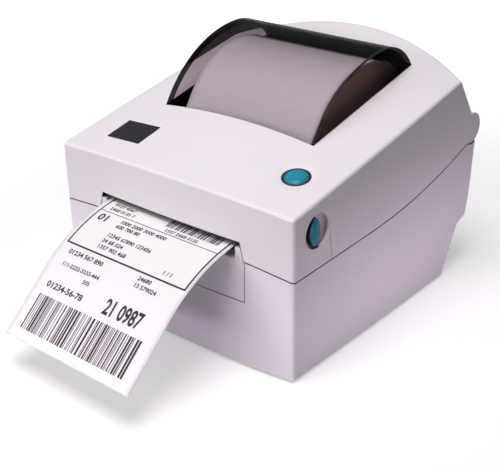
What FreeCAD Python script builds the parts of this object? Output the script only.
import FreeCAD, Part
import math
import os
import re

# A desktop thermal label printer: X to the right seen from the front, Y to the back, Z up.
# The origin is on the table under the middle of the body. All sizes are in millimetres.

Vec = FreeCAD.Vector
doc = FreeCAD.newDocument("label_printer")
sheet = doc.addObject("Spreadsheet::Sheet", "dims")

SIZES = {
    # outer form of the body
    "half_width": 100.5, "side_bow": 1.0, "corner_radius": 2.5, "front_reach": 105.0,
    "bulge_low": 6.6, "bulge_high": 2.8, "front_height": 112.5, "front_crown": 3.0,
    "rear_edge_back": 80.3, "rear_edge_height": 148.2, "rear_bow": 25.0, "rear_crown": 18.8,
    "shoulder_back": 99.0, "shoulder_bow": 7.0, "shoulder_height": 120.0,
    "back_reach": 108.0, "back_height": 100.0, "waist_back": 104.7, "waist_height": 54.4,
    "lip_back": 101.5, "lip_bow": 3.5, "lip_height": 40.1, "step_back": 90.2, "step_bow": 14.0,
    "step_height": 36.3, "toe_back": 72.3, "toe_bow": 28.0, "top_edge_round": 2.0,
    # shells, parting line and seams
    "wall": 2.6, "part_gap": 0.8, "seam_gap": 0.3, "part_front": 70.8, "part_rise_start": -22.0,
    "part_mid": 74.6, "part_rear": 47.3, "part_rear_height": 83.8, "part_end": 105.0,
    "part_end_height": 101.0, "part_arch": 6.7, "tray_top": 15.5, "tray_gap": 0.3, "foot_height": 2.0,
    # hinge
    "hinge_back": 102.5, "hinge_height": 107.5, "barrel_radius": 11.3, "barrel_gap": 0.7,
    "pin_radius": 3.0, "pin_fit": 0.05, "press_gap": 0.02, "knuckle_radius": 8.0, "knuckle_inner": 62.0,
    "knuckle_outer": 78.0, "knuckle_gap": 1.0, "lid_opening": 80.0, "sweep_clear": 1.0,
    # label slot, front bezel and badge
    "slot_half_low": 63.8, "slot_half_high": 60.7, "slot_top": 87.2, "bezel_half": 64.0,
    "bezel_bottom": 47.0, "bezel_seam": 0.5, "cheek_drop": 0.3, "cheek_gap": 1.6,
    "badge_x": -59.2, "badge_y": -76.5, "badge_width": 30.0, "badge_depth": 22.0, "badge_thick": 0.9,
    # roll of labels, its core, holders and trough
    "roll_y": 31.5, "roll_z": 100.0, "roll_radius": 63.5, "roll_half": 55.5, "core_radius": 14.7,
    "core_bore": 12.7, "core_gap": 0.2, "trough_clear": 3.0, "deck_thick": 2.0, "deck_gap": 0.3,
    "shelf_top": 81.0, "shelf_front": -69.0, "deck_rear": 94.2, "arm_gap": 1.0, "arm_thick": 4.0,
    "arm_half": 15.0, "hub_radius": 12.2, "hub_length": 8.0, "holder_travel": 8.0,
    # racks and pinions that tie the holders and the guides together
    "rack_module": 1.0, "rack_high": 3.0, "rack_back": 3.0, "rack_drop": 1.2,
    "slot_clear": 0.5, "pinion_axle": 2.0, "guide_y": -52.0, "guide_thick": 2.5, "guide_gap": 1.2,
    "guide_front": -66.0, "guide_rear": -40.0, "guide_top": 92.0, "guide_lip": 5.0,
    "guide_lip_top": 89.0, "guide_lip_rear": -59.0,
    # paper web and hanging label
    "web_half": 55.5, "web_thick": 0.25, "web_gap": 0.3, "web_bend_y": -58.0, "web_bend_radius": 10.0,
    "droop_start": -93.5, "droop_radius": 108.0, "droop_angle": 41.5, "droop_run": 48.9, "roll_skip": 0.4,
    "roll_wrap": 85.0,
    # platen, its frame and drive
    "platen_y": -84.0, "platen_z": 74.2, "platen_radius": 9.0, "platen_half": 57.5, "shaft_radius": 3.0,
    "shaft_right": 64.0, "shaft_left": 71.0, "bush_radius": 6.0, "frame_inner": 59.0, "frame_thick": 3.0,
    "frame_front": -97.0, "frame_rear": -74.2, "frame_top": 82.0, "frame_shelf": 52.0, "floor_gap": 0.3,
    "gear_module": 0.8, "gear_near": 65.0, "gear_wide": 5.0, "idler_drop": 21.0, "idler_back": 16.0,
    "motor_back": 12.0, "motor_drop": 15.0, "motor_radius": 17.5, "motor_near": 61.0,
    "motor_length": 22.0, "bracket_thick": 2.0, "axle_radius": 2.5,
    # print head on the lid
    "head_gap": 0.35, "head_bar_thick": 1.5, "head_half": 54.0, "head_front": -93.0, "head_rear": -75.0,
    "sink_high": 7.0, "head_plate": 2.0, "plate_front": -100.2, "plate_half": 58.0,
    "head_boss": 5.0, "head_boss_x": 40.0, "tear_thick": 2.2, "tear_low": 84.9, "tear_high": 93.0,
    "tear_reach": 4.8, "tear_shelf": 0.9, "tear_lip": 0.8, "tooth_deep": 0.9,
    # window
    "window_half": 64.6, "window_y": 39.7, "window_top": 173.9, "window_radius": 91.5,
    "window_tail": 40.2, "window_thick": 2.2, "window_fit": 0.2,
    # feed button
    "button_x": 75.0, "button_y": -70.0, "button_radius": 7.7, "ring_radius": 9.2, "ring_inner": 8.0,
    "ring_deep": 9.0, "button_flange": 8.6, "button_travel": 1.2, "ring_fit": 0.15,
    "recess_radius": 14.0, "recess_deep": 1.0,
    # side latches
    "latch_y": -81.8, "latch_z": 97.0, "dish_radius": 11.4, "dish_deep": 4.2, "dish_wall": 2.0,
    "dish_bevel": 1.0,
    "seam_top": -70.9, "seam_foot": -67.0, "seam_wide": 0.5, "seam_deep": 0.5,
    "lens_y": -84.2, "lens_half": 5.5, "lens_high": 10.0, "latch_travel": 3.0, "arm_low": 62.0,
    # electronics and connectors
    "bay_half": 72.0, "bay_low": 17.8, "bay_high": 37.0, "bay_back": 84.0, "bay_wall": 2.0,
    "board_half": 74.0, "board_front": -18.0, "board_z": 18.0, "board_thick": 1.6, "post_radius": 3.5,
    "port_proud": 2.0, "port_fit": 0.3,
    # feet and screws
    "foot_radius": 7.0, "foot_x": 74.0, "foot_front": -88.0, "foot_rear": 55.0,
    "screw_head": 3.6, "screw_shank": 1.5, "screw_x": 84.0, "screw_front": -62.0, "screw_rear": 40.0,
}

for row, (word, value) in enumerate(SIZES.items(), start=1):
    sheet.set("A%d" % row, word)
    sheet.set("B%d" % row, str(value))
    sheet.setAlias("B%d" % row, word)
doc.recompute()

NODES = {}
NAME = re.compile(r"[a-z][a-z_0-9]*")


def size(word):
    """A driving size read back from the sheet."""
    return float(sheet.get(word))


def bind(thing, prop, text):
    """Ties a property to an expression written with the sheet's own words."""
    def cell(match):
        word = match.group()
        return "dims." + word if word in SIZES else word
    thing.setExpression(prop, NAME.sub(cell, str(text)))


def place(thing, x, y, z):
    bind(thing, "Placement.Base.x", x)
    bind(thing, "Placement.Base.y", y)
    bind(thing, "Placement.Base.z", z)


def box(x0, x1, y0, y1, z0, z1):
    """A block between six bounds, each an expression."""
    thing = doc.addObject("Part::Box", "block")
    bind(thing, "Length", "(%s) - (%s)" % (x1, x0))
    bind(thing, "Width", "(%s) - (%s)" % (y1, y0))
    bind(thing, "Height", "(%s) - (%s)" % (z1, z0))
    place(thing, x0, y0, z0)
    return thing


TURNS = {
    "x": FreeCAD.Rotation(Vec(0, 1, 0), 90),
    "y": FreeCAD.Rotation(Vec(1, 0, 0), -90),
    "z": FreeCAD.Rotation(),
}


def rod(axis, radius, start, end, a, b):
    """A round bar along an axis; a and b are its place on the two other axes, in order."""
    thing = doc.addObject("Part::Cylinder", "rod")
    bind(thing, "Radius", radius)
    bind(thing, "Height", "(%s) - (%s)" % (end, start))
    thing.Placement = FreeCAD.Placement(Vec(), TURNS[axis])
    spots = {"x": (start, a, b), "y": (a, start, b), "z": (a, b, start)}
    place(thing, *spots[axis])
    return thing


def join(*things):
    if len(things) == 1:
        return things[0]
    whole = doc.addObject("Part::MultiFuse", "joined")
    whole.Shapes = list(things)
    return whole


def cut(base, *tools):
    rest = doc.addObject("Part::Cut", "cut")
    rest.Base = base
    rest.Tool = join(*tools)
    return rest


def group(*things):
    """Separate solids of one node."""
    pack = doc.addObject("Part::Compound", "group")
    pack.Links = list(things)
    return pack


def free(shape):
    """A shape worked out by a formula, as a document object."""
    thing = doc.addObject("Part::Feature", "form")
    thing.Shape = shape
    return thing


def node(label, thing):
    thing.Label = label
    NODES[label] = thing
    return thing


def span(side, near, far):
    """The bounds in X of a piece on the right (side 1) or on the left (side -1)."""
    if side > 0:
        return near, far
    return "-(%s)" % far, "-(%s)" % near


def spot(side, x):
    return x if side > 0 else "-(%s)" % x


def line(a, b):
    return Part.LineSegment(a, b).toShape()


def arc(a, b, c):
    return Part.Arc(a, b, c).toShape()


def outline(points):
    """A flat face inside a closed outline of straight runs."""
    return Part.Face(Part.makePolygon(points + [points[0]]))


# Outer form: a plan with a bulged front and rounded corners, under a crowned lid and a bowed back.

HALF = size("half_width")
STATIONS = [HALF * share for share in (-1.08, -0.8, -0.45, 0.0, 0.45, 0.8, 1.08)]
FAR_FRONT = -size("front_reach") - 60
FAR_BACK = size("back_reach") + 25
PLAN_LOW = -10.0
PLAN_HIGH = 185.0


def crown(x):
    """One at the middle of the width and nought at the sides, along a parabola."""
    return 1 - (x / HALF) ** 2


def bulge_at(z):
    rise = (z - size("foot_height")) / (size("front_height") - size("foot_height"))
    return size("bulge_low") + (size("bulge_high") - size("bulge_low")) * rise


def plan_wire(z, inset):
    """The plan at one height: bulged front, two rounded corners, two bowed sides and a far back."""
    half = HALF - inset
    front = -size("front_reach") + inset
    round_off = max(size("corner_radius") - inset, 1.5)
    bulge = bulge_at(z)
    big = (half ** 2 + bulge ** 2) / (2 * bulge)
    centre_y = front - bulge + big
    corner_x = half - round_off
    corner_y = centre_y - math.sqrt((big - round_off) ** 2 - corner_x ** 2)
    reach = big / (big - round_off)
    touch = Vec(corner_x * reach, centre_y + (corner_y - centre_y) * reach, z)
    lean = math.atan2(touch.y - corner_y, touch.x - corner_x) / 2
    middle = Vec(corner_x + round_off * math.cos(lean), corner_y + round_off * math.sin(lean), z)
    side = Vec(half, corner_y, z)
    bowed = Vec(half + size("side_bow"), (corner_y + FAR_BACK) / 2, z)
    rear = Vec(half, FAR_BACK, z)

    def flip(p):
        return Vec(-p.x, p.y, p.z)
    return Part.Wire([
        arc(flip(touch), Vec(0, front - bulge, z), touch), arc(touch, middle, side), arc(side, bowed, rear),
        line(rear, flip(rear)), arc(flip(rear), flip(bowed), flip(side)),
        arc(flip(side), flip(middle), flip(touch)),
    ])


def top_line(x, inset):
    """Front and rear ends of the lid's top at one station across the width."""
    w = crown(x)
    front = Vec(x, -size("front_reach") - size("bulge_high") * w,
                size("front_height") + size("front_crown") * w)
    rear = Vec(x, size("rear_edge_back") + size("rear_bow") * w,
               size("rear_edge_height") + size("rear_crown") * w)
    lower = Vec(0, 0, inset)
    return front - lower, rear - lower


def top_height(x, y):
    front, rear = top_line(x, 0)
    return front.z + (rear.z - front.z) * (y - front.y) / (rear.y - front.y)


def profile_wire(x, inset, bottom):
    """The side profile at one station: lid top, sloping back, hinge shoulder, waist, step and toe."""
    w = crown(x)
    front, rear = top_line(x, inset * 1.03)
    slope = (rear.z - front.z) / (rear.y - front.y)
    toe_slope = (size("step_back") + size("step_bow") * w - size("toe_back") - size("toe_bow") * w)
    toe_slope /= size("step_height") - size("foot_height")
    toe_y = size("toe_back") + size("toe_bow") * w + toe_slope * (bottom - size("foot_height"))
    corners = [
        Vec(x, FAR_FRONT, bottom),
        Vec(x, FAR_FRONT, front.z + slope * (FAR_FRONT - front.y)),
        Vec(x, rear.y - inset, rear.z - slope * inset),
        Vec(x, size("shoulder_back") + size("shoulder_bow") * w - inset, size("shoulder_height")),
        Vec(x, size("back_reach") - inset, size("back_height")),
        Vec(x, size("waist_back") + (size("back_reach") - size("waist_back")) * 0.4 * w - inset,
            size("waist_height")),
        Vec(x, size("lip_back") + size("lip_bow") * w - inset, size("lip_height")),
        Vec(x, size("step_back") + size("step_bow") * w - inset, size("step_height")),
        Vec(x, toe_y - inset, bottom),
    ]
    return Part.makePolygon(corners + [corners[0]])


def body_form(inset, bottom):
    plan = Part.makeLoft([plan_wire(PLAN_LOW, inset), plan_wire(PLAN_HIGH, inset)], True, True)
    profile = Part.makeLoft([profile_wire(x, inset, bottom) for x in STATIONS], True, False)
    return plan.common(profile)


def parting_wire(x, lift):
    """The region under the parting line at one station; the line arches over the front."""
    up = Vec(0, 0, lift + size("part_arch") * crown(x))
    slope = (size("part_mid") - size("part_front")) / (size("part_rise_start") + size("front_reach"))
    start = Vec(x, FAR_FRONT - 5, size("part_front") + slope * (FAR_FRONT - 5 + size("front_reach"))) + up
    bend = Vec(x, size("part_rise_start"), size("part_mid")) + up
    middle = Vec(x, size("part_rear"), size("part_rear_height")) + up
    end = Vec(x, size("part_end"), size("part_end_height")) + up
    far = Vec(x, FAR_BACK + 5, size("part_end_height") + 8) + up
    low_back = Vec(x, FAR_BACK + 5, -30)
    low_front = Vec(x, FAR_FRONT - 5, -30)
    return Part.Wire([line(low_front, start), line(start, bend), arc(bend, middle, end), line(end, far),
                      line(far, low_back), line(low_back, low_front)])


def under_parting(lift):
    return Part.makeLoft([parting_wire(x, lift) for x in STATIONS], True, False)


def slab(x0, x1, y0, y1, z0, z1):
    return Part.makeBox(x1 - x0, y1 - y0, z1 - z0, Vec(x0, y0, z0))


def bar(radius, x0, x1, y, z):
    return Part.makeCylinder(radius, x1 - x0, Vec(x0, y, z), Vec(1, 0, 0))


def x_span(side, near, far):
    return (near, far) if side > 0 else (-far, -near)


WALL = size("wall")
INNER_FACE = HALF - WALL
HINGE = (size("hinge_back"), size("hinge_height"))
OUTER = body_form(0, size("foot_height"))
CAVITY = body_form(WALL, -5)

# Window form: one arc over the roll at the front, a tighter one down to the back, flat ends.


def window_form(shrink, half):
    y = size("window_y")
    top = size("window_top") - shrink
    big = size("window_radius") - shrink
    tail = size("window_tail") - shrink
    low = 70.0
    front_drop = top - big

    def at(angle, radius):
        return Vec(-half, y + radius * math.sin(angle), top - radius + radius * math.cos(angle))
    front_angle = -math.radians(80)
    tail_angle = math.radians(85)
    start = at(front_angle, big)
    end = at(tail_angle, tail)
    crest = Vec(-half, y, top)
    wire = Part.Wire([
        line(Vec(-half, start.y, front_drop + low - 150), start), arc(start, at(front_angle / 2, big), crest),
        arc(crest, at(tail_angle / 2, tail), end), line(end, Vec(-half, end.y, front_drop + low - 150)),
        line(Vec(-half, end.y, front_drop + low - 150), Vec(-half, start.y, front_drop + low - 150)),
    ])
    return Part.Face(wire).extrude(Vec(2 * half, 0, 0))


# The feed button stands square to the lid's crowned top, in a shallow round recess.

BUTTON_X = size("button_x")
BUTTON_Y = size("button_y")
SLOPE_X = (top_height(BUTTON_X + 1, BUTTON_Y) - top_height(BUTTON_X - 1, BUTTON_Y)) / 2
SLOPE_Y = (top_height(BUTTON_X, BUTTON_Y + 1) - top_height(BUTTON_X, BUTTON_Y - 1)) / 2
BUTTON_AXIS = Vec(-SLOPE_X, -SLOPE_Y, 1).normalize()
LID_SPOT = Vec(BUTTON_X, BUTTON_Y, top_height(BUTTON_X, BUTTON_Y))
BUTTON_SEAT = LID_SPOT - BUTTON_AXIS * size("recess_deep")
print("button seat", BUTTON_SEAT, "axis", BUTTON_AXIS)


def button_rod(radius, low, high):
    return Part.makeCylinder(radius, high - low, BUTTON_SEAT + BUTTON_AXIS * low, BUTTON_AXIS)


BADGE_SLOPE = top_height(size("badge_x"), size("badge_y") + 1) - top_height(size("badge_x"), size("badge_y"))
BADGE_LEAN = top_height(size("badge_x") + 1, size("badge_y")) - top_height(size("badge_x"), size("badge_y"))
BADGE_AXIS = Vec(-BADGE_LEAN, -BADGE_SLOPE, 1).normalize()


def badge_block(grow, low, high):
    """A plate lying on the lid's top, grown on all sides."""
    wide = size("badge_width") + 2 * grow
    deep = size("badge_depth") + 2 * grow
    block = Part.makeBox(wide, deep, high - low, Vec(-wide / 2, -deep / 2, low))
    seat = Vec(size("badge_x"), size("badge_y"), top_height(size("badge_x"), size("badge_y")))
    block.Placement = FreeCAD.Placement(seat, FreeCAD.Rotation(Vec(0, 0, 1), BADGE_AXIS))
    return block


# Lid: top cover with window opening, label slot, button hole, latch dishes and hinge barrels.

LATCH = (size("latch_y"), size("latch_z"))
lid = OUTER.cut(under_parting(size("part_gap") / 2))
top_edges = []
for edge in lid.Edges:
    low, high = edge.ParameterRange
    spots = [edge.valueAt(low + (high - low) * share) for share in (0.2, 0.5, 0.8)]
    if all(abs(p.z - top_height(p.x, p.y)) < 0.15 for p in spots):
        top_edges.append(edge)
lid = lid.makeFillet(size("top_edge_round"), top_edges)
lid = lid.cut(CAVITY)
barrel = bar(size("barrel_radius"), -HALF, HALF, *HINGE)
hollow = bar(size("barrel_radius") - WALL, -size("knuckle_outer"), size("knuckle_outer"), *HINGE)
rear_half = slab(-HALF, HALF, HINGE[0] - 30, HINGE[0], HINGE[1] - 30, HINGE[1] + 30)
front_part = rear_half.cut(slab(-HALF, -size("knuckle_outer"), -200, 200, 0, 200))
front_part = front_part.cut(slab(size("knuckle_outer"), HALF, -200, 200, 0, 200))
lid = lid.fuse(barrel.cut(hollow).cut(front_part))


def swing_room():
    """What a full roll sweeps through, seen from the lid, while the lid swings open."""
    half = size("roll_half") + size("arm_gap")
    reach = size("roll_radius") + size("sweep_clear")
    back = size("roll_y") - HINGE[0]
    rise = size("roll_z") - HINGE[1]
    away = math.hypot(back, rise)
    start = math.atan2(rise, back)
    turned = math.radians(size("lid_opening"))

    def at(angle, radius):
        return Vec(-half, HINGE[0] + radius * math.cos(angle), HINGE[1] + radius * math.sin(angle))
    far = 3 * size("barrel_radius")
    wedge = outline([at(start, 0), at(start, far), at(start + turned / 2, far), at(start + turned, far)])
    opened = at(start + turned, away)
    sweep = wedge.extrude(Vec(2 * half, 0, 0)).fuse(bar(reach, -half, half, opened.y, opened.z))
    return sweep.cut(bar(away - reach, -half - 1, half + 1, *HINGE))


lid = lid.cut(swing_room())
gap = size("knuckle_gap")
side_bulge = HALF + size("side_bow") * 0.4
BEVEL_HIGH = size("dish_bevel") + 5
for side in (1, -1):
    near, far = x_span(side, size("knuckle_inner") - gap, size("knuckle_outer") + gap)
    lid = lid.cut(bar(size("barrel_radius") + gap, near, far, *HINGE))
    near, far = x_span(side, size("knuckle_outer"), HALF - 3)
    lid = lid.cut(bar(size("pin_radius") + size("pin_fit"), near, far, *HINGE))
    near, far = x_span(side, HALF - 12, HALF + 5)
    lid = lid.cut(bar(size("dish_radius"), near, far, *LATCH))
    bevel_top = size("dish_radius") + BEVEL_HIGH
    bevel_foot = Vec(side * (side_bulge - size("dish_bevel")), *LATCH)
    lid = lid.cut(Part.makeCone(size("dish_radius"), bevel_top, BEVEL_HIGH, bevel_foot, Vec(side, 0, 0)))
SEAM_LOW = size("part_front") - 5
for side in (1, -1):
    near, far = x_span(side, side_bulge - size("seam_deep"), HALF + 5)
    seam = outline([
        Vec(near, size("seam_top"), size("latch_z")), Vec(near, size("seam_foot"), SEAM_LOW),
        Vec(near, size("seam_foot") + size("seam_wide"), SEAM_LOW),
        Vec(near, size("seam_top") + size("seam_wide"), size("latch_z")),
    ])
    lid = lid.cut(seam.extrude(Vec(far - near, 0, 0)))
slot_low = size("part_front") - 10
slot_run = (size("slot_half_low") - size("slot_half_high")) / (size("slot_top") - size("part_mid"))
slot_foot = size("slot_half_high") + slot_run * (size("slot_top") - slot_low)
SLOT_BACK = -size("front_reach") + 8


def slot_prism(shrink):
    """The label slot, narrower towards its top, drawn in all round, as a prism through the front wall."""
    foot = slot_foot - shrink
    head = size("slot_half_high") - shrink
    top = size("slot_top") - shrink
    face = outline([Vec(-foot, FAR_FRONT, slot_low), Vec(foot, FAR_FRONT, slot_low),
                    Vec(head, FAR_FRONT, top), Vec(-head, FAR_FRONT, top)])
    return face.extrude(Vec(0, SLOT_BACK - FAR_FRONT, 0))


lid = lid.cut(slot_prism(0))
lid = lid.cut(window_form(-size("window_fit"), size("window_half") + size("window_fit")))
recess_ball = (size("recess_radius") ** 2 + size("recess_deep") ** 2) / (2 * size("recess_deep"))
lid = lid.cut(Part.makeSphere(recess_ball, BUTTON_SEAT + BUTTON_AXIS * recess_ball))
lid = lid.cut(button_rod(size("ring_radius") + size("ring_fit"), -30, 30))
lid = lid.cut(badge_block(size("ring_fit"), -size("badge_thick") + 0.3, 10))
WEB_Z = size("platen_z") + size("platen_radius") + size("web_gap")
HEAD_TOP = (WEB_Z + size("web_thick") + size("head_gap") + size("head_bar_thick")
            + size("sink_high") + size("head_plate"))
BOSS_Y = (size("head_front") + size("head_rear")) / 2
for side in (1, -1):
    boss = Part.makeCylinder(size("head_boss"), 60, Vec(side * size("head_boss_x"), BOSS_Y, HEAD_TOP))
    lid = lid.fuse(boss.common(CAVITY))
top_cover = node("top_cover", free(lid))

# Window: smoked dome with flat ends, its lower edge level with the underside of the cover.

dome = window_form(0, size("window_half"))
dome = dome.cut(window_form(size("window_thick"), size("window_half") - size("window_thick")))
node("cover_window", free(dome.cut(CAVITY)))

badge = badge_block(0, -size("badge_thick") + 0.35, 0.35)
node("badge_plate", free(badge))

# Base: shell that reaches down round the tray, with the connector bay, latch catches and hinge knuckles.

base = OUTER.common(under_parting(-size("part_gap") / 2))
base = base.cut(CAVITY)
bay = (size("bay_half"), size("bay_back"), size("bay_low"), size("bay_high"), size("bay_wall"))
tunnel = slab(-bay[0] - bay[4], bay[0] + bay[4], bay[1] - bay[4], FAR_BACK,
              size("tray_top"), bay[3] + bay[4])
tunnel = tunnel.common(OUTER)
hollow_bay = slab(-bay[0], bay[0], bay[1] - 2 * bay[4], FAR_BACK, size("tray_top") + bay[4], bay[3])
base = base.fuse(tunnel).cut(hollow_bay)
base = base.cut(bar(size("barrel_radius") + size("barrel_gap"), -HALF - 5, HALF + 5, *HINGE))
KNUCKLE_DROP = 28
for side in (1, -1):
    near, far = x_span(side, size("knuckle_inner"), size("knuckle_outer"))
    knuckle = bar(size("knuckle_radius"), near, far, *HINGE)
    web = slab(near, far, HINGE[0] - size("knuckle_radius"), HINGE[0] + size("knuckle_radius") - 1,
               HINGE[1] - KNUCKLE_DROP, HINGE[1])
    base = base.fuse(web.common(OUTER).fuse(knuckle))
    base = base.cut(bar(size("pin_radius") + size("press_gap"), near - 1, far + 1, *HINGE))
    near, far = x_span(side, HALF - 12, HALF - 1)
    catch = slab(near, far, size("lens_y") + 12, size("lens_y") + 18,
                 size("arm_low") - 4, size("arm_low") + 6)
    base = base.fuse(catch.common(OUTER))
bezel_gap = size("bezel_seam")
bezel_hole = slab(-size("bezel_half") - bezel_gap, size("bezel_half") + bezel_gap, FAR_FRONT,
                  SLOT_BACK, size("bezel_bottom") - bezel_gap, 120)
base = base.cut(bezel_hole)
node("base_shell", free(base))

# Front bezel: the panel under the label slot, flush with the base; its cheeks close the slot's two ends.

panel = OUTER.common(under_parting(-size("part_gap") / 2)).cut(CAVITY)
panel = panel.common(slab(-size("bezel_half"), size("bezel_half"), FAR_FRONT, SLOT_BACK,
                          size("bezel_bottom"), 120))
cheek_x = size("web_half") + size("cheek_gap")
cheeks = slab(-size("bezel_half"), size("bezel_half"), FAR_FRONT, SLOT_BACK, slot_low,
              WEB_Z - size("cheek_drop"))
cheeks = cheeks.cut(slab(-cheek_x, cheek_x, FAR_FRONT, SLOT_BACK, slot_low, WEB_Z))
panel = panel.fuse(cheeks.common(slot_prism(bezel_gap)).common(OUTER).cut(CAVITY))
LIP_LOW = 72
lip = slab(-size("bezel_half"), size("bezel_half"), -size("front_reach") - 3, size("frame_front") - 0.4,
           LIP_LOW, LIP_LOW + 2)
panel = panel.fuse(lip.common(OUTER))
node("front_bezel", free(panel))

# Bottom tray inside the foot of the base, with posts for the board, screw bosses and a floor.

TRAY_INSET = WALL + size("tray_gap")
tray = body_form(TRAY_INSET, size("foot_height"))
tray = tray.common(slab(-200, 200, -200, 200, 0, size("tray_top") - size("seam_gap")))
tray_cavity = body_form(TRAY_INSET + WALL, size("foot_height") + WALL)
tray = tray.cut(tray_cavity)
FLOOR = size("foot_height") + WALL
SCREW_BOSS = 4.5
REAR_POST = 70.0
SCREWS = [(sx * size("screw_x"), y) for sx in (1, -1) for y in (size("screw_front"), size("screw_rear"))]
for x, y in SCREWS:
    tray = tray.fuse(Part.makeCylinder(SCREW_BOSS, 2 * SCREW_BOSS, Vec(x, y, FLOOR - 0.5)))
    tray = tray.cut(Part.makeCylinder(size("screw_head") + 0.3, 1.9, Vec(x, y, size("foot_height") - 0.1)))
    tray = tray.cut(Part.makeCylinder(size("screw_shank"), 12, Vec(x, y, size("foot_height"))))
POSTS = [(sx * (size("board_half") - 6), y) for sx in (1, -1) for y in (size("board_front") + 6, REAR_POST)]
for x, y in POSTS:
    high = size("board_z") - FLOOR + 0.5
    tray = tray.fuse(Part.makeCylinder(size("post_radius"), high, Vec(x, y, FLOOR - 0.5)))
node("bottom_tray", free(tray))

feet = []
for sx in ("foot_x", "-foot_x"):
    for y in ("foot_front", "foot_rear"):
        feet.append(rod("z", "foot_radius", "0", "foot_height", sx, y))
node("rubber_feet", group(*feet))
screws = []
for sx in ("screw_x", "-screw_x"):
    for y in ("screw_front", "screw_rear"):
        head = rod("z", "screw_head", "foot_height + 0.1", "foot_height + 1.8", sx, y)
        shank = rod("z", "screw_shank - 0.05", "foot_height + 1.7", "foot_height + 10", sx, y)
        screws.append(join(head, shank))
node("base_screws", group(*screws))

# Hinge pins, one at each end, pressed in the base and turning in the lid's barrels.

pins = [rod("x", "pin_radius", *span(s, "knuckle_inner + 1", "half_width - 4"), "hinge_back", "hinge_height")
        for s in (1, -1)]
node("hinge_pins", group(*pins))

# Media deck: front shelf and round trough under the roll, with slots for the holders and guides.

DECK_HALF = INNER_FACE - size("deck_gap")
TROUGH = size("roll_radius") + size("trough_clear")
DECK_OUT = TROUGH + size("deck_thick")
SHELF = size("shelf_top")


def trough_y(radius, z, way):
    return size("roll_y") + way * math.sqrt(radius ** 2 - (z - size("roll_z")) ** 2)


def trough_z(radius, y):
    return size("roll_z") - math.sqrt(radius ** 2 - (y - size("roll_y")) ** 2)


def deck_point(y, z):
    return Vec(-DECK_HALF, y, z)


shelf_low = SHELF - size("deck_thick")
deck_wire = Part.Wire([
    line(deck_point(size("shelf_front"), shelf_low), deck_point(size("shelf_front"), SHELF)),
    line(deck_point(size("shelf_front"), SHELF), deck_point(trough_y(TROUGH, SHELF, -1), SHELF)),
    arc(deck_point(trough_y(TROUGH, SHELF, -1), SHELF), deck_point(size("roll_y"), size("roll_z") - TROUGH),
        deck_point(size("deck_rear"), trough_z(TROUGH, size("deck_rear")))),
    line(deck_point(size("deck_rear"), trough_z(TROUGH, size("deck_rear"))),
         deck_point(size("deck_rear"), trough_z(DECK_OUT, size("deck_rear")))),
    arc(deck_point(size("deck_rear"), trough_z(DECK_OUT, size("deck_rear"))),
        deck_point(size("roll_y"), size("roll_z") - DECK_OUT),
        deck_point(trough_y(DECK_OUT, shelf_low, -1), shelf_low)),
    line(deck_point(trough_y(DECK_OUT, shelf_low, -1), shelf_low),
         deck_point(size("shelf_front"), shelf_low)),
])
deck = Part.Face(deck_wire).extrude(Vec(2 * DECK_HALF, 0, 0))
PINION_TEETH = 12
PITCH = size("rack_module") * PINION_TEETH / 2
RACK_DEEP = size("rack_module") * 1.25
HOLDER_FACE = size("roll_half") + size("arm_gap")
GUIDE_FACE = size("web_half") + size("guide_gap")


def foot_y(centre, side):
    """Bounds in Y of a rack's back, on its own side of the pinion."""
    near = centre + side * (PITCH + RACK_DEEP)
    far = near + side * size("rack_back")
    return min(near, far), max(near, far)


def deck_slot(centre, side, face, thick, z0, z1):
    y0, y1 = foot_y(centre, side)
    clear = size("slot_clear")
    near, far = x_span(side, face - clear, face + thick + size("holder_travel") + clear)
    return slab(near, far, y0 - clear, y1 + clear, z0, z1)


for side in (1, -1):
    deck = deck.cut(deck_slot(size("roll_y"), side, HOLDER_FACE, size("arm_thick"),
                              size("roll_z") - DECK_OUT - 2, size("roll_z") - TROUGH + 4))
    deck = deck.cut(deck_slot(size("guide_y"), side, GUIDE_FACE, size("guide_thick"), SHELF - 10, SHELF + 2))
HOLDER_RACK_TOP = size("roll_z") - DECK_OUT - size("rack_drop")
GUIDE_RACK_TOP = shelf_low - size("rack_drop")


def axle(y, top, bottom):
    return Part.makeCylinder(size("pinion_axle"), top - bottom, Vec(0, y, bottom))


deck = deck.fuse(axle(size("roll_y"), HOLDER_RACK_TOP + 2.5, HOLDER_RACK_TOP - size("rack_high") - 0.5))
deck = deck.fuse(axle(size("guide_y"), GUIDE_RACK_TOP + 2.5, GUIDE_RACK_TOP - size("rack_high") - 0.5))
node("media_deck", free(deck))

# Gears with involute teeth, thinned for running clearance, and the racks that match them.


def gear_face(module, teeth, bore, phase=0.0):
    """A toothed disc: each flank is an involute from the base circle to the tip."""
    pitch = module * teeth / 2
    base_circle = pitch * math.cos(math.radians(20))
    tip = pitch + module
    root = pitch - 1.25 * module
    backlash = 0.12 / pitch
    half_tooth = math.pi / (2 * teeth) - backlash
    involute = math.tan(math.radians(20)) - math.radians(20)

    def flank(radius):
        if radius <= base_circle:
            return half_tooth + involute
        roll = math.acos(base_circle / radius)
        return half_tooth + involute - (math.tan(roll) - roll)
    low = max(root, base_circle)
    radii = [low + (tip - low) * k / 4 for k in range(5)]
    if root < low:
        radii.insert(0, root)
    points = []
    for tooth in range(teeth):
        middle = phase + 2 * math.pi * tooth / teeth
        sides = [(r, -flank(r)) for r in radii] + [(r, flank(r)) for r in reversed(radii)]
        points += [Vec(r * math.cos(middle + a), r * math.sin(middle + a), 0) for r, a in sides]
    disc = outline(points)
    return disc.cut(Part.Face(Part.Wire(Part.makeCircle(bore))))


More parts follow.
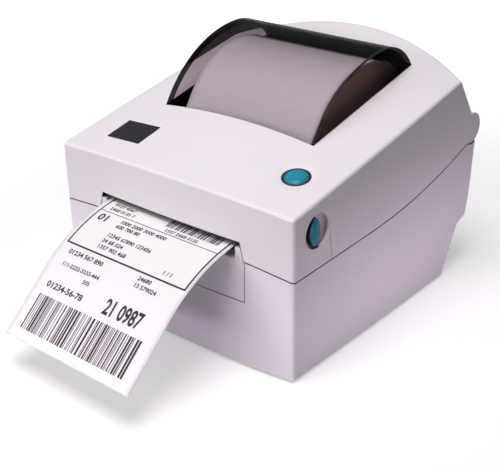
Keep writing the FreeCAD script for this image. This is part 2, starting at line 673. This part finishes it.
def gear_on_x(module, teeth, bore, phase, x0, x1, y, z):
    """A gear whose axle lies along X."""
    solid = gear_face(module, teeth, bore, phase).extrude(Vec(0, 0, x1 - x0))
    turn = FreeCAD.Rotation(Vec(0, 1, 0), Vec(0, 0, 1), Vec(1, 0, 0), "ZXY")
    solid.Placement = FreeCAD.Placement(Vec(x0, y, z), turn)
    return solid


def rack_solid(centre, side, start, end, top):
    """A straight rack on one side of a pinion at x nought; a gap or a tooth faces the pinion."""
    module = size("rack_module")
    step = math.pi * module
    lean = module * math.tan(math.radians(20))
    half = step / 4 - 0.12
    y_tip = PITCH - module
    y_root = PITCH + RACK_DEEP
    y_back = y_root + size("rack_back")
    points = [Vec(start, y_back, 0), Vec(start, y_root, 0)]
    first = math.ceil((start + 1.2) / step - 0.5)
    last = math.floor((end - 1.2) / step - 0.5)
    drop = RACK_DEEP * math.tan(math.radians(20))
    for k in range(first, last + 1):
        x = (k + 0.5) * step
        points += [Vec(x - half - drop, y_root, 0), Vec(x - half + lean, y_tip, 0),
                   Vec(x + half - lean, y_tip, 0), Vec(x + half + drop, y_root, 0)]
    points += [Vec(end, y_root, 0), Vec(end, y_back, 0)]
    solid = outline(points).extrude(Vec(0, 0, size("rack_high")))
    turn = FreeCAD.Rotation(Vec(0, 0, 1), 0 if side > 0 else 180)
    solid.Placement = FreeCAD.Placement(Vec(0, centre, top - size("rack_high")), turn)
    return solid


RACK_PAST = 14.0


def rack_piece(centre, side, face, thick, top, foot_top):
    """A rack under the deck with the foot that rises through the slot."""
    bar_part = rack_solid(centre, side, -RACK_PAST, face + thick, top)
    y0, y1 = foot_y(centre, side)
    near, far = x_span(side, face, face + thick)
    return bar_part.fuse(slab(near, far, y0, y1, top - size("rack_high"), foot_top))


def pinion(centre, top):
    face = gear_face(size("rack_module"), PINION_TEETH, size("pinion_axle") + size("pin_fit"), math.pi / 2)
    solid = face.extrude(Vec(0, 0, size("rack_high")))
    solid.Placement = FreeCAD.Placement(Vec(0, centre, top - size("rack_high")), FreeCAD.Rotation())
    return solid


SIDES = {"right": 1, "left": -1}
ARM_LOW = trough_z(TROUGH, size("roll_y") + size("arm_half")) + 0.5
for word, side in SIDES.items():
    x0, x1 = x_span(side, HOLDER_FACE, HOLDER_FACE + size("arm_thick"))
    arm = slab(x0, x1, size("roll_y") - size("arm_half"), size("roll_y") + size("arm_half"),
               ARM_LOW, size("roll_z"))
    arm = arm.fuse(bar(size("arm_half"), x0, x1, size("roll_y"), size("roll_z")))
    h0, h1 = x_span(side, HOLDER_FACE - size("arm_gap") - size("hub_length"), HOLDER_FACE)
    arm = arm.fuse(bar(size("hub_radius"), h0, h1, size("roll_y"), size("roll_z")))
    arm = arm.fuse(rack_piece(size("roll_y"), side, HOLDER_FACE, size("arm_thick"), HOLDER_RACK_TOP,
                              ARM_LOW + 2))
    node("roll_holder_" + word, free(arm))
    x0, x1 = x_span(side, GUIDE_FACE, GUIDE_FACE + size("guide_thick"))
    guide = slab(x0, x1, size("guide_front"), size("guide_rear"), SHELF + 0.3, size("guide_top"))
    l0, l1 = x_span(side, GUIDE_FACE - size("guide_lip"), GUIDE_FACE)
    guide = guide.fuse(slab(l0, l1, size("guide_front"), size("guide_lip_rear"),
                            size("guide_lip_top") - 2, size("guide_lip_top")))
    guide = guide.fuse(rack_piece(size("guide_y"), side, GUIDE_FACE, size("guide_thick"), GUIDE_RACK_TOP,
                                  SHELF + 2))
    node("media_guide_" + word, free(guide))
node("holder_pinion", free(pinion(size("roll_y"), HOLDER_RACK_TOP)))
node("guide_pinion", free(pinion(size("guide_y"), GUIDE_RACK_TOP)))

# Roll of labels on its card core.

paper = rod("x", "roll_radius", "-roll_half", "roll_half", "roll_y", "roll_z")
through = ("-roll_half - 1", "roll_half + 1", "roll_y", "roll_z")
node("label_roll", cut(paper, rod("x", "core_radius + core_gap", *through)))
core = rod("x", "core_radius", "-roll_half", "roll_half", "roll_y", "roll_z")
node("roll_core", cut(core, rod("x", "core_bore", *through)))

# Paper web: over the top of the roll, round the bend, over the platen and down in front as the label.


def web_wire(lift):
    """The web's path, lifted square to itself; it is straight runs and tangent arcs."""
    z = WEB_Z
    bend_y = size("web_bend_y")
    bend = size("web_bend_radius")
    ry, rz = size("roll_y"), size("roll_z")
    reach = size("roll_radius") + size("roll_skip")
    flat = math.hypot(ry - bend_y, rz - z)
    climb = math.atan2(rz - z, ry - bend_y) + math.asin(reach / flat)
    run = math.sqrt(flat ** 2 - reach ** 2)
    cut_back = bend * math.tan(climb / 2)
    droop = math.radians(size("droop_angle"))
    radius = size("droop_radius")

    def p(y, height, angle):
        return Vec(-size("web_half"), y - lift * math.sin(angle), height + lift * math.cos(angle))

    def on_roll(angle):
        return p(ry - reach * math.sin(angle), rz + reach * math.cos(angle), angle)
    wrap = math.radians(size("roll_wrap"))
    roll_end = on_roll(climb)
    over_roll = arc(on_roll(climb - wrap), on_roll(climb - wrap / 2), roll_end)
    bend_start = p(bend_y + cut_back * math.cos(climb), z + cut_back * math.sin(climb), climb)
    half_turn = climb / 2
    bend_mid = p(bend_y - cut_back + bend * math.sin(half_turn), z + bend * (1 - math.cos(half_turn)),
                 half_turn)
    bend_end = p(bend_y - cut_back, z, 0)
    droop_start = p(size("droop_start"), z, 0)
    turned = droop / 2
    droop_mid = p(size("droop_start") - radius * math.sin(turned), z - radius * (1 - math.cos(turned)),
                  turned)
    end_y = size("droop_start") - radius * math.sin(droop)
    end_z = z - radius * (1 - math.cos(droop))
    droop_end = p(end_y, end_z, droop)
    hang = size("droop_run")
    free_end = p(end_y - hang * math.cos(droop), end_z - hang * math.sin(droop), droop)
    return [over_roll, line(roll_end, bend_start), arc(bend_start, bend_mid, bend_end),
            line(bend_end, droop_start), arc(droop_start, droop_mid, droop_end), line(droop_end, free_end)]


under = web_wire(0)
over = web_wire(size("web_thick"))
closing = [line(under[0].firstVertex().Point, over[0].firstVertex().Point),
           line(under[-1].lastVertex().Point, over[-1].lastVertex().Point)]
web_face = Part.Face(Part.Wire(Part.__sortEdges__(under + over + closing)))
node("label_strip", free(web_face.extrude(Vec(2 * size("web_half"), 0, 0))))
print("web length", round(sum(edge.Length for edge in under), 1))

# Platen with its shaft, gear, bushes and frame.

node("platen_shaft", rod("x", "shaft_radius", "-shaft_left", "shaft_right", "platen_y", "platen_z"))
rubber = rod("x", "platen_radius", "-platen_half", "platen_half", "platen_y", "platen_z")
node("platen_roller", cut(rubber, rod("x", "shaft_radius + 0.02", "-platen_half - 1", "platen_half + 1",
                                      "platen_y", "platen_z")))
plates = []
bushes = []
for side in (1, -1):
    plates.append(box(*span(side, "frame_inner", "frame_inner + frame_thick"), "frame_front", "frame_rear",
                      "foot_height + wall + floor_gap", "frame_top"))
    ring = rod("x", "bush_radius", *span(side, "frame_inner - 0.6", "frame_inner + frame_thick + 0.6"),
               "platen_y", "platen_z")
    bore = rod("x", "shaft_radius + pin_fit", *span(side, "frame_inner - 2", "frame_inner + frame_thick + 2"),
               "platen_y", "platen_z")
    bushes.append(cut(ring, bore))
shelf_plate = box("-frame_inner", "frame_inner", "frame_front", "frame_rear",
                  "frame_shelf", "frame_shelf + 2")
holes = [rod("x", "bush_radius", *span(s, "frame_inner - 2", "frame_inner + frame_thick + 2"),
             "platen_y", "platen_z") for s in (1, -1)]
node("platen_frame", cut(join(shelf_plate, *plates), *holes))
node("platen_bushes", group(*bushes))

# Drive train on the left: platen gear, idler on its axle, and the motor's pinion.

PLATEN_TEETH = 30
IDLER_TEETH = 36
MOTOR_TEETH = 12
GEAR_X = (-size("gear_near") - size("gear_wide"), -size("gear_near"))
PLATEN = (size("platen_y"), size("platen_z"))
IDLER_SPAN = size("gear_module") * (PLATEN_TEETH + IDLER_TEETH) / 2
MOTOR_SPAN = size("gear_module") * (IDLER_TEETH + MOTOR_TEETH) / 2


def along(start, dy, dz, distance):
    """A place at a set distance from another, in a given direction."""
    length = math.hypot(dy, dz)
    return start[0] + distance * dy / length, start[1] + distance * dz / length


IDLER = along(PLATEN, size("idler_back"), -size("idler_drop"), IDLER_SPAN)
MOTOR = along(IDLER, size("motor_back"), -size("motor_drop"), MOTOR_SPAN)
print("idler axis", IDLER, "motor axis", MOTOR)


def toward(a, b):
    return math.atan2(b[1] - a[1], b[0] - a[0])


idler_way = toward(PLATEN, IDLER)
motor_way = toward(IDLER, MOTOR)
idler_phase = idler_way + math.pi + math.pi / IDLER_TEETH
turn_on = (motor_way - idler_phase) / (2 * math.pi / IDLER_TEETH)
motor_phase = motor_way + math.pi + (turn_on + 0.5) * 2 * math.pi / MOTOR_TEETH
node("platen_gear", free(gear_on_x(size("gear_module"), PLATEN_TEETH, size("shaft_radius") + 0.02, idler_way,
                                   *GEAR_X, *PLATEN)))
node("idler_gear", free(gear_on_x(size("gear_module"), IDLER_TEETH, size("axle_radius") + size("pin_fit"),
                                  idler_phase, *GEAR_X, *IDLER)))
MOTOR_SHAFT = 1.2
motor_gear = gear_on_x(size("gear_module"), MOTOR_TEETH, MOTOR_SHAFT - 0.2, motor_phase, *GEAR_X, *MOTOR)
motor_gear = motor_gear.fuse(bar(MOTOR_SHAFT, GEAR_X[0], -size("motor_near") + 3, *MOTOR))
node("motor_pinion", free(motor_gear))
plate_x = (-size("motor_near") - 1 - size("bracket_thick"), -size("motor_near") - 1)
mount = slab(*plate_x, MOTOR[0] - 14, MOTOR[0] + 16, FLOOR + size("floor_gap"), MOTOR[1] + 14)
mount = mount.fuse(slab(*plate_x, IDLER[0] - 6, IDLER[0] + 8, MOTOR[1], IDLER[1] + 7))
mount = mount.fuse(slab(*plate_x, size("frame_rear") + 0.3, IDLER[0], IDLER[1] - 12, IDLER[1]))
MOTOR_BOSS = 6.0
mount = mount.cut(bar(MOTOR_BOSS, plate_x[0] - 1, plate_x[1] + 1, *MOTOR))
mount = mount.cut(bar(size("axle_radius") + size("press_gap"), plate_x[0] - 1, plate_x[1] + 1, *IDLER))
node("motor_bracket", free(mount))
motor_x = (-size("motor_near") - 0.7, -size("motor_near") + size("motor_length"))
motor = bar(size("motor_radius"), *motor_x, *MOTOR)
motor = motor.cut(bar(MOTOR_SHAFT + 0.8, -size("motor_near") - 2, -size("motor_near") + 4, *MOTOR))
node("stepper_motor", free(motor))
node("idler_axle", free(bar(size("axle_radius"), GEAR_X[0] - 1.5, plate_x[1], *IDLER)))

# Media sensor between the platen and the shelf.

node("media_sensor", box("10", "26", "shelf_front - 1.6", "shelf_front - 0.4", "shelf_top - 8", "shelf_top"))

# Print head on the lid: heater bar, finned heat sink, carrier plate, and a tear bar toothed along the slot.

BAR_LOW = "platen_z + platen_radius + web_gap + web_thick + head_gap"
node("head_heater_bar", box("-head_half", "head_half", "head_front", "head_rear", BAR_LOW,
                            BAR_LOW + " + head_bar_thick"))
SINK_LOW = BAR_LOW + " + head_bar_thick"
PLATE_LOW = SINK_LOW + " + sink_high"
sink = box("-head_half - 1", "head_half + 1", "head_front - 1", "head_rear + 0.5", SINK_LOW, PLATE_LOW)
FIN_STEP = 4
channels = []
for k in range(4):
    front = "head_front + %s" % (FIN_STEP * (k + 0.5))
    channels.append(box("-head_half - 2", "head_half + 2", front, front + " + %s" % (FIN_STEP / 2),
                        SINK_LOW + " + 2.5", PLATE_LOW + " - 1.5"))
node("head_heat_sink", cut(sink, *channels))
carrier = box("-plate_half", "plate_half", "plate_front", "head_rear + 8", PLATE_LOW,
              PLATE_LOW + " + head_plate")
front_lip = box("-plate_half", "plate_half", "plate_front - 2", "plate_front", "tear_low + 1",
                PLATE_LOW + " + head_plate")
node("head_carrier", join(carrier, front_lip))
tear_half = size("plate_half") - 1
tear_back = size("plate_front") - 2.0
tear_front = tear_back - size("tear_reach")
tear_top = size("slot_top") - size("seam_gap")
tear_under = tear_top - size("tear_shelf")
count = int(tear_half)
tooth = 2 * tear_half / count
tear_edge = [Vec(-tear_half, tear_front, tear_top), Vec(-tear_half, tear_front, size("tear_low"))]
for k in range(count):
    x = -tear_half + k * tooth
    tear_edge.append(Vec(x + tooth / 2, tear_front, size("tear_low") + size("tooth_deep")))
    tear_edge.append(Vec(x + tooth, tear_front, size("tear_low")))
tear_edge.append(Vec(tear_half, tear_front, tear_top))
tear_bar = outline(tear_edge).extrude(Vec(0, size("tear_lip"), 0))
tear_bar = tear_bar.fuse(slab(-tear_half, tear_half, tear_front, tear_back, tear_under, tear_top))
tear_bar = tear_bar.fuse(slab(-tear_half, tear_half, tear_back - size("tear_thick"), tear_back, tear_under,
                              size("tear_high")))
node("tear_bar", free(tear_bar))
HEAD_SCREW = "2.8"
node("head_screws", group(*[rod("z", HEAD_SCREW, PLATE_LOW + " - 2", PLATE_LOW,
                                spot(s, "head_boss_x + 9"), "head_rear + 4") for s in (1, -1)]))

# Feed button with its ring and the little switch board under it.

RING_TOP = 0.5
ring_solid = button_rod(size("ring_radius"), -size("ring_deep"), RING_TOP)
ring_solid = ring_solid.cut(button_rod(size("ring_inner"), -1.6, 20))
ring_solid = ring_solid.cut(button_rod(size("button_flange") + 0.15, -size("ring_deep") - 1, -1.5))
node("button_ring", free(ring_solid))
BUTTON_CROWN = 1.0
press = button_rod(size("button_radius"), -3.0, BUTTON_CROWN)
crest = BUTTON_SEAT + BUTTON_AXIS * BUTTON_CROWN
rim = [edge for edge in press.Edges if (edge.CenterOfMass - crest).Length < 0.01]
press = press.makeFillet(0.9, rim)
press = press.fuse(button_rod(size("button_flange") - 0.25, -3.4, -1.8))
press = press.fuse(button_rod(2.5, -5.2, -3.3))
node("feed_button", free(press))
board_low = -size("ring_deep") - 1.6
switch_board = button_rod(size("ring_radius") + 1.5, board_low, -size("ring_deep"))
switch_board = switch_board.fuse(button_rod(3.2, -size("ring_deep"), -5.4 - size("button_travel")))
node("button_board", free(switch_board))

# Latches: a finger dish in each side of the lid, and a sliding lever with its hook.


def lens(half, high, x0, x1):
    """A pointed oval across two equal arcs, as a prism along X."""
    y, z = size("lens_y"), size("latch_z")
    tips = [Vec(x0, y, z - high), Vec(x0, y, z + high)]
    face = Part.Face(Part.Wire([arc(tips[0], Vec(x0, y - half, z), tips[1]),
                                arc(tips[1], Vec(x0, y + half, z), tips[0])]))
    return face.extrude(Vec(x1 - x0, 0, 0))


DISH_FLOOR = HALF - size("dish_deep")
for word, side in SIDES.items():
    cup_x = x_span(side, DISH_FLOOR - size("dish_wall"), INNER_FACE - 0.3)
    cup = bar(size("dish_radius") + size("dish_wall"), *cup_x, *LATCH)
    well_x = x_span(side, DISH_FLOOR, HALF + 2)
    cup = cup.cut(bar(size("dish_radius"), *well_x, *LATCH))
    stem_y = (size("lens_y") - 4, size("lens_y") + 3)
    stem_z = (size("latch_z") - 4, size("latch_z") + 4)
    clear = 0.5
    hole_x = x_span(side, DISH_FLOOR - size("dish_wall") - 1, DISH_FLOOR + 1)
    cup = cup.cut(slab(*hole_x, stem_y[0] - size("latch_travel") - clear, stem_y[1] + clear,
                       stem_z[0] - clear, stem_z[1] + clear))
    node("latch_dish_" + word, free(cup))
    lens_x = x_span(side, DISH_FLOOR + 0.4, HALF - 0.4)
    lever = lens(size("lens_half"), size("lens_high"), *lens_x)
    stem_x = x_span(side, DISH_FLOOR - size("dish_wall") - 3.4, DISH_FLOOR + 1)
    lever = lever.fuse(slab(*stem_x, *stem_y, *stem_z))
    arm_x = x_span(side, DISH_FLOOR - size("dish_wall") - 3.4, DISH_FLOOR - size("dish_wall") - 0.4)
    lever = lever.fuse(slab(*arm_x, *stem_y, size("arm_low"), stem_z[1]))
    lever = lever.fuse(slab(*arm_x, stem_y[1], size("lens_y") + 7, size("arm_low"), size("arm_low") + 4))
    node("latch_lever_" + word, free(lever))

# Main board, its parts, the connectors in the rear bay and the power switch.

node("main_board", box("-board_half + 3", "board_half - 3", "board_front", "bay_back - bay_wall - 0.5",
                       "board_z", "board_z + board_thick"))
CHIP_LOW = "board_z + board_thick"
chips = [box("-50", "-26", "20", "44", CHIP_LOW, CHIP_LOW + " + 1.6"),
         box("20", "34", "46", "66", CHIP_LOW, CHIP_LOW + " + 3"),
         box("48", "60", "0", "18", CHIP_LOW, CHIP_LOW + " + 2.4")]
for k in range(3):
    capacitor = rod("z", "3.2", CHIP_LOW, CHIP_LOW + " + 7", -62 + 9 * k, "60")
    chips.append(capacitor)
node("board_parts", group(*chips))
panel_x = ("-bay_half + 0.3", "bay_half - 0.3")
plate = box(*panel_x, "bay_back - bay_wall", "bay_back", "bay_low", "bay_high - 0.3")
PORTS = {
    "power_switch_body": (-64, -42, 19.9, 34.9), "power_jack": (-34, -22, 19.6, 31.0),
    "usb_port": (-15, -3, 19.6, 30.6), "serial_port": (4, 34, 19.6, 32.0),
    "parallel_port": (39, 69, 19.6, 33.0),
}
openings = []
for x0, x1, z0, z1 in PORTS.values():
    openings.append(box("%s - port_fit" % x0, "%s + port_fit" % x1, "bay_back - 10", "bay_back + 10",
                        "%s - port_fit" % z0, "%s + port_fit" % z1))
node("connector_panel", cut(plate, *openings))
PORT_FACE = "bay_back + port_proud"


def port(label, deep, *pockets):
    x0, x1, z0, z1 = PORTS[label]
    shell = box(x0, x1, "bay_back - %s" % deep, PORT_FACE, z0, z1)
    return cut(shell, *pockets)


x0, x1, z0, z1 = PORTS["power_jack"]
jack = port("power_jack", 12, rod("y", "4", "bay_back - 8", "bay_back + 9", x0 + 6, z0 + 5.7))
node("power_jack", join(jack, rod("y", "1.2", "bay_back - 9", "bay_back - 1", x0 + 6, z0 + 5.7)))
x0, x1, z0, z1 = PORTS["usb_port"]
usb = port("usb_port", 14, box(x0 + 1, x1 - 1, "bay_back - 8", "bay_back + 9", z0 + 1, z1 - 1))
node("usb_port", join(usb, box(x0 + 3.2, x1 - 3.2, "bay_back - 9", "bay_back", z0 + 4.1, z0 + 6.9)))
x0, x1, z0, z1 = PORTS["serial_port"]
serial = port("serial_port", 12, box(x0 + 6.5, x1 - 6.5, "bay_back - 4", "bay_back + 9", z0 + 2.2, z1 - 2.2))
pins_9 = [rod("y", "0.6", "bay_back - 5", "bay_back + 1", x0 + 15 + 2.7 * (k - (2 if k < 5 else 6.5)),
              z0 + (7.6 if k < 5 else 4.8)) for k in range(9)]
node("serial_port", join(serial, *pins_9))
x0, x1, z0, z1 = PORTS["parallel_port"]
wide = port("parallel_port", 12, box(x0 + 3, x1 - 3, "bay_back - 5", "bay_back + 9", z0 + 2, z1 - 2))
node("parallel_port", join(wide, box(x0 + 6, x1 - 6, "bay_back - 6", "bay_back", z0 + 5.5, z1 - 5.5)))
x0, x1, z0, z1 = PORTS["power_switch_body"]
SWITCH_RIM = 1.6
pocket = box(x0 + SWITCH_RIM, x1 - SWITCH_RIM, "bay_back - 10.5", "bay_back + 9",
             z0 + SWITCH_RIM, z1 - SWITCH_RIM)
node("power_switch_body", port("power_switch_body", 14, pocket))
ROCKER_Y = size("bay_back") - 3.0
rocker_x = (x0 + 2.2, x1 - 2.2)
middle_x = (x0 + x1) / 2
rocker_face = Part.Face(Part.Wire([
    line(Vec(rocker_x[0], ROCKER_Y - 4, 0), Vec(rocker_x[1], ROCKER_Y - 4, 0)),
    line(Vec(rocker_x[1], ROCKER_Y - 4, 0), Vec(rocker_x[1], ROCKER_Y + 4.5, 0)),
    line(Vec(rocker_x[1], ROCKER_Y + 4.5, 0), Vec(middle_x, ROCKER_Y + 5.5, 0)),
    line(Vec(middle_x, ROCKER_Y + 5.5, 0), Vec(rocker_x[0], ROCKER_Y + 7.5, 0)),
    line(Vec(rocker_x[0], ROCKER_Y + 7.5, 0), Vec(rocker_x[0], ROCKER_Y - 4, 0)),
]))
rocker = rocker_face.extrude(Vec(0, 0, z1 - z0 - 4.4))
ROCKER_SWEEP = 9.1
rocker = rocker.common(Part.makeCylinder(ROCKER_SWEEP, 40, Vec(middle_x, ROCKER_Y, -10)))
rocker.Placement = FreeCAD.Placement(Vec(0, 0, z0 + 2.2), FreeCAD.Rotation())
node("power_rocker", free(rocker))
print("rocker axis x", middle_x, "y", ROCKER_Y)

doc.recompute()
broken = [thing.Name for thing in doc.Objects if "Invalid" in thing.State or "Error" in thing.State]
for label, thing in NODES.items():
    if thing.Shape.isNull() or not thing.Shape.isValid() or not thing.Shape.Solids:
        broken.append(label)
if broken:
    raise SystemExit("failed pieces: " + ", ".join(broken))
os.makedirs("parts", exist_ok=True)
for label, thing in NODES.items():
    thing.Shape.exportStep("parts/%s.step" % label)
print(len(NODES), "nodes")
